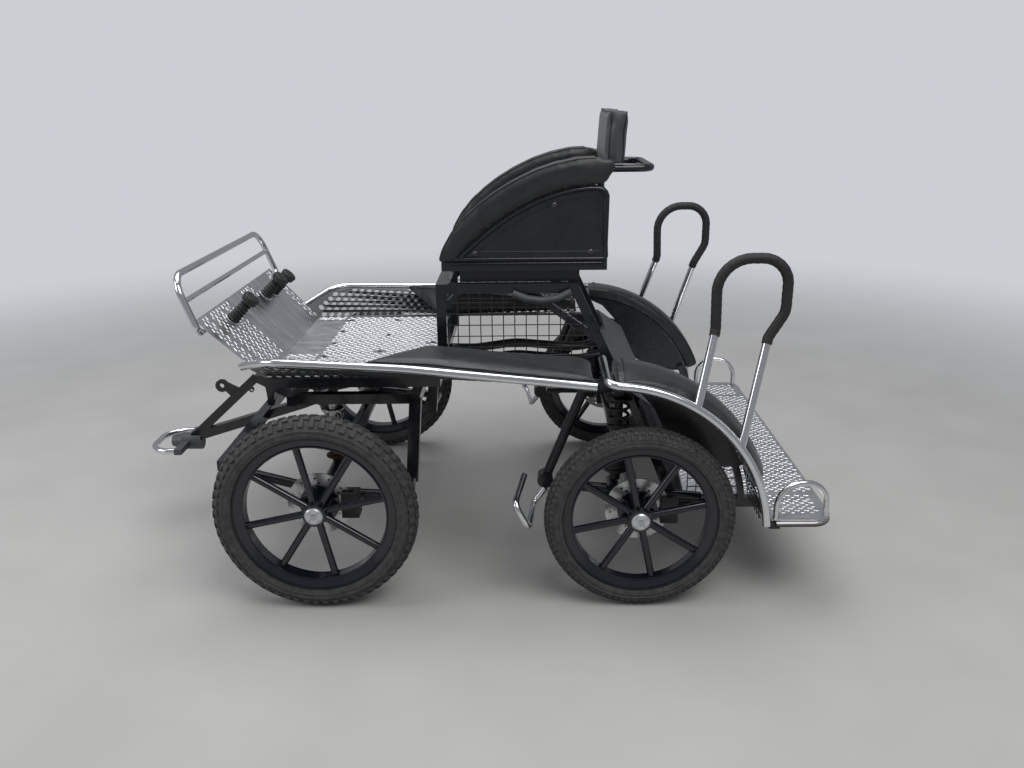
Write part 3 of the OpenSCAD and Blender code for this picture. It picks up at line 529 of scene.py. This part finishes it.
def make_springs():
    shape = Shape()
    foot, head = at(-383, 424, 297), at(-393, 408, 552)
    u = (head - foot).normalized()
    long = (head - foot).length * 1000
    lathe(shape, [(15, 1), (15, 24), (24, 24), (24, 130), (20, 136), (12, 138), (12, long - 1)],
          foot, u)
    lathe(shape, [(30, 24), (33, 26), (33, 31), (30, 33)], foot, u, 28)
    lathe(shape, [(34, long - 22), (37, long - 20), (37, long - 16), (34, long - 14)], foot, u, 28)
    helix(foot + u * 0.0365, foot + u * (long - 26) / 1000, 0.0275, 8, 0.009, shape)
    piece("rear_spring_coils", shape.both(), "body", "cast", ["rear_springs"])
    shape = Shape()
    foot, long = at(FRONT_X, 290, 301.3), 182.0
    lathe(shape, [(13, 0), (13, long)], foot, Z)
    lathe(shape, [(26, 14), (30, 16), (30, 21), (26, 23)], foot, Z, 28)
    lathe(shape, [(26, long - 22), (30, long - 20), (30, long - 15), (26, long - 13)], foot, Z, 28)
    helix(foot + Z * 0.027, foot + Z * 0.157, 0.0255, 6, 0.0085, shape)
    piece("front_spring_coils", shape.both(), "front_carriage", "post",
          ["front_springs"])


# ---------- plates ----------

TREAD_STEP = 23.0     # between bars across the plate, in mm
TREAD_ROW = 13.0      # between staggered rows, in mm


def lens(shape, p, along, across, up, length=19, width=6.5, height=1.5):
    """One raised bar, its sizes in mm."""
    rim, top = [], []
    for k in range(8):
        a = 2 * math.pi * k / 8
        u = math.copysign(abs(math.cos(a)) ** 1.2, math.cos(a)) * length / 2000
        v = math.sin(a) * width / 2000
        rim.append(p + along * u + across * v - up * 0.0003)
        top.append(p + along * u * 0.55 + across * v * 0.4 + up * height / 1000)
    walls = [(k, (k + 1) % 8, 8 + (k + 1) % 8, 8 + k) for k in range(8)]
    shape.add(rim + top, walls + [tuple(range(8, 16))])


def tread(shape, spot, us, vs, skip=lambda u, v: False):
    """Staggered bars on a plate: spot(u, v) gives the point, the direction of u, of v and up."""
    for i, u in enumerate(us):
        for j, v in enumerate(vs):
            w = v + (TREAD_STEP / 4 if i % 2 else -TREAD_STEP / 4)
            if skip(u, w):
                continue
            p, e, g, up = spot(u, w)
            turn = math.radians(14 if (i + j) % 2 else -14)
            lens(shape, p, e * math.cos(turn) + g * math.sin(turn),
                 g * math.cos(turn) - e * math.sin(turn), up)


def steps(a, b, step):
    """The middles of equal shares of a..b, each about one step long."""
    n = max(1, round((b - a) / step))
    return [a + (b - a) * (i + 0.5) / n for i in range(n)]


def rows(lo, hi):
    return steps(lo, hi, TREAD_ROW)


def bars(lo, hi):
    return steps(lo, hi, TREAD_STEP)


FLOOR_SCREWS = ([(482, y) for y in (-300, -150, 0, 150, 300)]
                + [(320, y) for y in (-300, -100, 100, 300)]
                + [(165, y) for y in (-300, 0, 300)])


def make_plates():
    def on_floor(u, v):
        return at(u, v, FLOOR_TOP), X, Y, Z

    def on_slope(u, v):
        return at(SLOPE_X, v, FLOOR_TOP) + SLOPE * (u / 1000), SLOPE, Y, NORMAL

    def on_platform(u, v):
        return at(u, v, PLATFORM_TOP), X, Y, Z

    def off_floor(u, v):
        return any(math.hypot(u - a, v - b) < 15 for a, b in FLOOR_SCREWS) or abs(v) > 346

    def near_pedal(u, v):
        return any(math.hypot(u - along, v - y) < 34 for y, along, h in PEDALS)

    shape = Shape()
    tread(shape, on_floor, rows(146, 496), bars(-345, 345), off_floor)
    piece("floor_tread", shape, "body", "tread", smooth=False)
    shape = Shape()
    for x, y in FLOOR_SCREWS:
        lathe(shape, [(6.5, -0.5), (6.5, 1.2), (4.5, 2.6), (1.5, 3.0)], at(x, y, FLOOR_TOP), Z, 16)
    piece("floor_screws", shape, "body", "cast")
    shape = Shape()
    for lo, hi in ((122, 290), (-352, -312)):
        tread(shape, on_slope, rows(12, 236), bars(lo, hi), near_pedal)
        tread(shape, on_floor, rows(506, 598), bars(lo, hi))
    tread(shape, on_slope, rows(40, 236), bars(310, 356), near_pedal)
    tread(shape, on_slope, rows(190, 236), bars(-110, -18), near_pedal)
    piece("footboard_tread", shape, "body", "tread", smooth=False)
    shape = Shape()
    tread(shape, on_platform, rows(-948, -566), bars(-425, 420))
    for lo, hi in ((-560, -440), (440, 560)):
        tread(shape, on_platform, rows(-930, -800), bars(lo, hi))
    piece("platform_tread", shape, "body", "tread", smooth=False)


# ---------- side guards ----------

# the left guard's corners, inner edge and outer edge, and the triangles it is folded along
GUARD_IN = [(601, 355.3, 581), (192, 355.3, 581), (-315, 355.3, 599)]
GUARD_OUT = [(656.8, 372, 622.8), (562, 486, 666), (192, 525, 658), (-303, 605, 630)]
GUARD_FOLDS = [(0, 4, 3), (0, 1, 4), (4, 1, 5), (1, 6, 5), (1, 2, 6)]
HOLE_R, HOLE_STEP, HOLE_ROW = 9.2, 27, 21.5


def make_guards():
    corners = GUARD_IN + GUARD_OUT
    outline = [corners[k][:2] for k in (0, 1, 2, 6, 5, 4, 3)]

    def height(x, y):
        best, z = -1e9, 0
        for tri in GUARD_FOLDS:
            (x0, y0, z0), (x1, y1, z1), (x2, y2, z2) = (corners[k] for k in tri)
            det = (y1 - y2) * (x0 - x2) + (x2 - x1) * (y0 - y2)
            a = ((y1 - y2) * (x - x2) + (x2 - x1) * (y - y2)) / det
            b = ((y2 - y0) * (x - x2) + (x0 - x2) * (y - y2)) / det
            c = 1 - a - b
            if min(a, b, c) > best:
                best, z = min(a, b, c), a * z0 + b * z1 + c * z2
        return z

    def margin(x, y):
        """How far inside the outline a point is."""
        d = 1e9
        inside = False
        for (x0, y0), (x1, y1) in zip(outline, outline[1:] + outline[:1]):
            t = ((x - x0) * (x1 - x0) + (y - y0) * (y1 - y0)) / ((x1 - x0) ** 2 + (y1 - y0) ** 2)
            t = min(1, max(0, t))
            d = min(d, math.hypot(x - x0 - t * (x1 - x0), y - y0 - t * (y1 - y0)))
            if (y0 > y) != (y1 > y) and x < x0 + (y - y0) * (x1 - x0) / (y1 - y0):
                inside = not inside
        return d if inside else -d

    loops = [outline]
    for row in range(12):
        y = 370 + row * HOLE_ROW
        for col in range(44):
            x = -300 + col * HOLE_STEP + (HOLE_STEP / 2 if row % 2 else 0)
            if margin(x, y) > HOLE_STEP / 2:
                loops.append(ring(x, y, HOLE_R, 12))
    mesh = flat_sheet("guard", [[(x / 100, y / 100) for x, y in loop] for loop in loops])
    for v in mesh.vertices:
        x, y = v.co.x * 100, v.co.y * 100
        v.co = at(x, y, height(x, y))
    mesh = thick(mesh, 0.0023)
    other = mesh.copy()
    other.transform(Matrix.Scale(-1, 4, Vector((0, 1, 0))))
    other.flip_normals()
    place("guard_left_perforated", mesh, "body", "panel", ["side_guards"],
          smooth=False)
    place("guard_right_perforated", other, "body", "panel", smooth=False)


# ---------- grips, pedals, seat trim, hose -----------

def make_grips():
    front0, front1 = at(-569, 615, 573), at(-621, 533, 760)
    rear0, rear1 = at(-687.4, 615, 464.4), at(-757, 533, 738)
    path = [front0.lerp(front1, 0.92), front1, at(-616, 535, 944), at(-796, 538, 944),
            at(-796, 536, 806), rear1, rear0.lerp(rear1, 0.94)]
    spacing, pitch = 0.0032, 0.018
    path = resample(fillet(path, [0.060, 0.088, 0.088, 0.060, 0.040], 0.004), spacing)

    def wrap(i, a):
        """The tape's radius, in metres, which rises to an edge at each turn of the winding."""
        turn = (i * spacing / pitch + a / (2 * math.pi)) % 1.0
        return 0.0132 + 0.0008 * min(1.0, turn * 1.15)

    shape = Shape()
    tube(shape, path, wrap, 18)
    piece("grip_tape_wraps", shape.both(), "body", "tape", ["handle_grips"])


def pedal_base(y, along):
    return at(SLOPE_X, y, FLOOR_TOP) + SLOPE * (along / 1000)


def make_pedals():
    shape = Shape()
    for y, along, h in PEDALS:
        base = pedal_base(y, along)
        boot = [(19, 0), (19, 5), (16, 8)]
        folds = 5
        for k in range(folds):
            z = 10 + k * (h - 14) / folds
            r = 17.5 - k * 0.4
            boot += [(r - 3.5, z), (r + 1.2, z + 3.2), (r + 1.2, z + 5.6), (r - 3.5, z + 8.6)]
        boot += [(14, h)]
        lathe(shape, boot, base, NORMAL, 26)
        lathe(shape, [(16, h - 2), (22, h + 1), (23.5, h + 4), (25.8, h + 17), (25.2, h + 21),
                      (22.5, h + 23.4), (18, h + 24), (1, h + 24)], base, NORMAL, 32)
    piece("pedal_boots", shape, "body", "pedal", ["brake_pedals"])
    shape = Shape()
    for y, along, h in PEDALS:
        lathe(shape, [(27, -0.5), (27, 1.6), (25.5, 2.4), (20, 2.6), (19.6, 1)],
              pedal_base(y, along), NORMAL, 36)
    piece("pedal_rings", shape, "body", "chrome")


def panel_outline(inset):
    """The seat panel's outline, in mm, drawn in by inset."""
    top = bezier((75, 888), (-5, 966), (-135, 1087), (-313, 1099), 22)
    corner = [(-335 + 34 * math.cos(math.radians(a)), 1065 + 34 * math.sin(math.radians(a)))
              for a in range(88, 181, 12)]
    loop = top + corner + [(SEAT_BACK + 1, 1030), (SEAT_BACK + 1, 888)]
    cx, cz = -200.0, 960.0
    out = []
    n = len(loop)
    for i, (x, z) in enumerate(loop):
        ax, az = loop[i - 1]
        bx, bz = loop[(i + 1) % n]
        dx, dz = bx - ax, bz - az
        k = math.hypot(dx, dz)
        nx, nz = -dz / k, dx / k
        if (cx - x) * nx + (cz - z) * nz < 0:
            nx, nz = -nx, -nz
        out.append((x + nx * inset, z + nz * inset))
    return out


def make_seat_trim():
    edge = Shape()
    loop = [at(x, SEAT_SIDE, z) for x, z in panel_outline(8)]
    path = fillet(loop + loop[:1], [0.004] * len(loop), 0.004)
    tube(edge, resample(path, 0.008), 0.0065, 10, True)
    piece("seat_panel_borders", edge.both(), "body", "paint")
    line = Shape()
    loop = [at(x, SEAT_SIDE + 0.2, z) for x, z in panel_outline(30)]
    tube(line, resample(loop + loop[:1], 0.008), 0.0013, 6, True)
    piece("seat_panel_lines", line.both(), "body", "wire")
    heads = Shape()
    for x, z in ((-215, 1046), (-318, 915), (10, 912)):
        lathe(heads, [(7.5, -1), (7.5, 1.5), (6.2, 2.8), (3.2, 3.2), (3.0, 1.6), (0.6, 1.6)],
              at(x, SEAT_SIDE, z), Y, 18)
    piece("seat_panel_screws", heads.both(), "body", "dark_steel")
    foot = Shape()
    tube(foot, [at(x, SEAT_SIDE + 1.5, 884) for x in (78, -350)], 0.0035, 10)
    piece("seat_bottom_lines", foot.both(), "body", "wheel_paint")


def make_hose():
    shape = Shape()
    path = [at(-97, 262, 800), at(-135, 268, 786), at(-180, 270, 779), at(-226, 268, 786),
            at(-263, 262, 803)]
    path = resample(fillet(path, [0.06, 0.08, 0.06]), 0.006)
    tube(shape, path, 0.011, 14)
    piece("brake_hose", shape, "body", "hose")


# ---------- padded pieces ----------

def drawn_mesh(o, mesh):
    old = o.data
    o.data = mesh
    bpy.data.meshes.remove(old)


def swell(o, pressure, cap, held):
    """Blows a closed mesh up a little with the cloth solver; held points stay."""
    n = len(o.data.vertices)
    rest = np.zeros(n * 3)
    o.data.vertices.foreach_get("co", rest)
    rest = rest.reshape(-1, 3)
    m = o.modifiers.new("cloth", "CLOTH")
    s = m.settings
    s.quality = 4
    s.mass = 0.3
    s.tension_stiffness = s.compression_stiffness = 12
    s.shear_stiffness = 5
    s.bending_stiffness = 4
    s.use_pressure = True
    s.uniform_pressure_force = pressure
    s.effector_weights.gravity = 0
    m.point_cache.frame_start, m.point_cache.frame_end = 1, 16
    for f in range(1, 17):
        SCENE.frame_set(f)
    dg = bpy.context.evaluated_depsgraph_get()
    moved = np.zeros(n * 3)
    o.evaluated_get(dg).data.vertices.foreach_get("co", moved)
    shift = moved.reshape(-1, 3) - rest
    shift[~np.isfinite(shift).all(1)] = 0
    shift[held] = 0
    long = np.linalg.norm(shift, axis=1, keepdims=True)
    shift *= np.minimum(1, cap / np.maximum(long, 1e-9))
    o.modifiers.remove(m)
    SCENE.frame_set(1)
    o.data.vertices.foreach_set("co", (rest + shift).ravel())
    o.data.update()


def padded(name, node, kind, voxel, shrink, cap, towards):
    """A soft piece grown from the CAD solid it stands for, the node.

    towards(p) points from a point of it to what it rests on. Lengths are in metres.
    """
    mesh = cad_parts[node].data.copy()
    o = bpy.data.objects.new(name, mesh)
    SCENE.collection.objects.link(o)
    for kind_of, values in (("REMESH", {"mode": "VOXEL", "voxel_size": voxel}),
                            ("SMOOTH", {"factor": 0.5, "iterations": 5})):
        m = o.modifiers.new("m", kind_of)
        for k, v in values.items():
            setattr(m, k, v)
    new = baked(o)
    o.modifiers.clear()
    drawn_mesh(o, new)
    n = len(new.vertices)
    co, no = np.zeros(n * 3), np.zeros(n * 3)
    new.vertices.foreach_get("co", co)
    new.vertices.foreach_get("normal", no)
    co, no = co.reshape(-1, 3), no.reshape(-1, 3)
    down = np.array([list(towards(p)) for p in co])
    held = (no * down).sum(1) > 0.55
    co[~held] -= no[~held] * shrink
    new.vertices.foreach_set("co", co.ravel())
    new.update()
    swell(o, 4.0, cap, held)
    m = o.modifiers.new("s", "SMOOTH")
    m.factor, m.iterations = 0.5, 4
    m = o.modifiers.new("d", "SUBSURF")
    m.levels = m.render_levels = 1
    new = baked(o)
    o.modifiers.clear()
    drawn_mesh(o, new)
    new.materials.clear()
    new.materials.append(LOOKS[kind])
    for p in new.polygons:
        p.use_smooth = True
    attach(o, "body")
    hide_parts(node)
    return o


def twin(o, name, node, kind):
    """The mirror image of a padded piece, standing for another node."""
    mesh = o.data.copy()
    mesh.transform(Matrix.Scale(-1, 4, Vector((0, 1, 0))))
    mesh.flip_normals()
    other = place(name, mesh, "body", kind, [node])
    for p in mesh.polygons:
        p.use_smooth = True
    return other


def piping(name, o, paths, radius=0.0028, mirrored=False, proud=0.0008, step=0.007):
    """Beads of piping laid on a padded piece along paths."""
    shape = Shape()
    for path, closed in paths:
        line = resample(path + path[:1] if closed else path, step)
        if closed:
            line = line[:-1]
        laid = []
        for p in line:
            ok, hit, normal, _ = o.closest_point_on_mesh(p)
            laid.append(hit + normal * proud if ok else p)
        for _ in range(2):
            laid = [(laid[i - 1] + q * 2 + laid[(i + 1) % len(laid)]) / 4
                    if closed or 0 < i < len(laid) - 1 else q for i, q in enumerate(laid)]
        tube(shape, laid, radius, 8, closed)
    if mirrored:
        shape.both()
    piece(name, shape, "body", "vinyl_piping")


def on_arch(r, y, a):
    """A point at radius r mm and angle a degrees round the fender's axis."""
    t = math.radians(a)
    return at(FENDER_X + r * math.cos(t), y, FENDER_Z + r * math.sin(t))


def make_padding():
    fender_axis = at(FENDER_X, 0, FENDER_Z)

    def to_axis(p):
        d = Vector((fender_axis.x - p[0], 0, fender_axis.z - p[2]))
        return d.normalized()

    pad = padded("fender_pad_left_vinyl", "fender_pad_left", "vinyl", 0.0075, 0.002,
                 0.006, to_axis)
    twin(pad, "fender_pad_right_vinyl", "fender_pad_right", "vinyl")
    lines = [([on_arch(449, 458, a) for a in range(93, 161, 2)], False),
             ([on_arch(425, 601, a) for a in range(93, 161, 2)], False),
             ([on_arch(r, y, 95) for r, y in ((414, 448), (440, 450), (450, 462), (452, 517),
                                              (442, 562), (427, 600), (412, 602))], False)]
    piping("fender_pad_piping", pad, lines, mirrored=True)

    pad = padded("bolster_left_vinyl", "seat_bolster_left", "vinyl", 0.006, 0.003,
                 0.007, lambda p: (0, 0, -1))
    twin(pad, "bolster_right_vinyl", "seat_bolster_right", "vinyl")
    top = bezier((114, 900), (93, 1018), (-150, 1181), (-330, 1176), 30)
    piping("bolster_piping", pad, [([at(x, y, z) for x, z in top], False) for y in (202, 257)],
           mirrored=True)

    pad = padded("side_pad_left_vinyl", "side_pad_left", "vinyl", 0.0075, 0.002,
                 0.006, lambda p: (0, 0.35, -0.94))
    twin(pad, "side_pad_right_vinyl", "side_pad_right", "vinyl")
    piping("side_pad_piping", pad, [
        ([at(130, 366, 674), at(-60, 366, 658), at(-306, 368, 636)], False),
        ([at(300, 487, 668), at(130, 510, 671), at(-306, 583, 643)], False),
        ([at(300, 484, 668), at(215, 430, 671), at(132, 372, 676)], False)], mirrored=True)

    pad = padded("seat_cushion_vinyl", "seat_cushion", "vinyl", 0.009, 0.003, 0.008,
                 lambda p: (0, 0, -1))
    loop = fillet([at(x, y, 941) for x, y in ((-130, -194), (80, -194), (80, 194), (-336, 194),
                                              (-336, -194), (-130, -194))], [0.014] * 4)
    piping("seat_cushion_piping", pad, [(loop[:-1], True)])

    pad = padded("backrest_vinyl", "backrest_pad", "grey_vinyl", 0.006, 0.003, 0.006,
                 lambda p: (0, 0, -1))
    tilt = math.radians(4)

    def on_back(x, y, z):
        return at(-415 + x * math.cos(tilt) - z * math.sin(tilt), y,
                  1147.3 + x * math.sin(tilt) + z * math.cos(tilt))

    lines = []
    for x in (1, 53):
        loop = [on_back(x, y, z) for y, z in ((0, 2), (164, 2), (164, 146), (-164, 146),
                                              (-164, 2), (0, 2))]
        lines.append((fillet(loop, [0.01] * 4)[:-1], True))
    piping("backrest_piping", pad, lines, radius=0.0024)


# ---------- stage ----------

def fade_out(m, inner, outer):
    """The floor gives way to the backdrop between two distances from the middle, in metres."""
    n, links = m.node_tree.nodes, m.node_tree.links
    where = n.new("ShaderNodeTexCoord")
    far = n.new("ShaderNodeVectorMath")
    far.operation = "LENGTH"
    links.new(where.outputs["Object"], far.inputs[0])
    share = n.new("ShaderNodeMapRange")
    share.interpolation_type = "SMOOTHSTEP"
    share.inputs["From Min"].default_value = inner
    share.inputs["From Max"].default_value = outer
    links.new(far.outputs["Value"], share.inputs["Value"])
    clear = n.new("ShaderNodeBsdfTransparent")
    mix = n.new("ShaderNodeMixShader")
    links.new(share.outputs["Result"], mix.inputs["Fac"])
    links.new(n["Principled BSDF"].outputs["BSDF"], mix.inputs[1])
    links.new(clear.outputs["BSDF"], mix.inputs[2])
    links.new(mix.outputs["Shader"], n["Material Output"].inputs["Surface"])


def make_world():
    world = bpy.data.worlds.new("studio")
    SCENE.world = world
    world.use_nodes = True
    n, links = world.node_tree.nodes, world.node_tree.links
    glow = n["Background"]
    glow.inputs["Color"].default_value = (0.90, 0.93, 1.0, 1)
    glow.inputs["Strength"].default_value = 0.30
    seen = n.new("ShaderNodeBackground")
    seen.inputs["Color"].default_value = (0.60, 0.62, 0.66, 1)
    path = n.new("ShaderNodeLightPath")
    mix = n.new("ShaderNodeMixShader")
    links.new(path.outputs["Is Camera Ray"], mix.inputs["Fac"])
    links.new(glow.outputs["Background"], mix.inputs[1])
    links.new(seen.outputs["Background"], mix.inputs[2])
    links.new(mix.outputs["Shader"], n["World Output"].inputs["Surface"])


def make_stage():
    mesh = bpy.data.meshes.new("floor")
    r, n = 9.0, 64
    rim = [(x, y, -0.0005) for x, y in ring(0, 0, r, n)]
    mesh.from_pydata(rim, [], [tuple(range(n))])
    o = bpy.data.objects.new("floor", mesh)
    SCENE.collection.objects.link(o)
    m = look("concrete", (0.44, 0.435, 0.42), 0.8, worn=(0.50, 0.495, 0.48), scale=3.0, spread=0.05)
    fade_out(m, 1.9, 5.5)
    mesh.materials.append(m)
    make_world()
    for name, spot, size, power, tint in (
            ("key", (-1.6, 2.6, 4.2), (3.2, 2.4), 105, (1.0, 0.99, 0.97)),
            ("top", (0.6, -0.6, 4.4), (4.0, 3.0), 105, (0.97, 0.98, 1.0)),
            ("side", (3.8, 1.4, 2.2), (2.0, 2.0), 40, (1.0, 1.0, 1.0))):
        light = bpy.data.lights.new(name, "AREA")
        light.shape, light.size, light.size_y = "RECTANGLE", size[0], size[1]
        light.energy, light.color = power, tint
        lamp = bpy.data.objects.new(name, light)
        SCENE.collection.objects.link(lamp)
        lamp.location = spot
        aim = Vector((0, 0, 0.5)) - Vector(spot)
        lamp.rotation_euler = aim.to_track_quat("-Z", "Y").to_euler()
    SCENE.view_settings.view_transform = "Standard"


aim_camera()
make_looks()
finish_cad()
make_wheels()
make_springs()
make_plates()
make_guards()
make_grips()
make_pedals()
make_seat_trim()
make_hose()
make_padding()
make_stage()
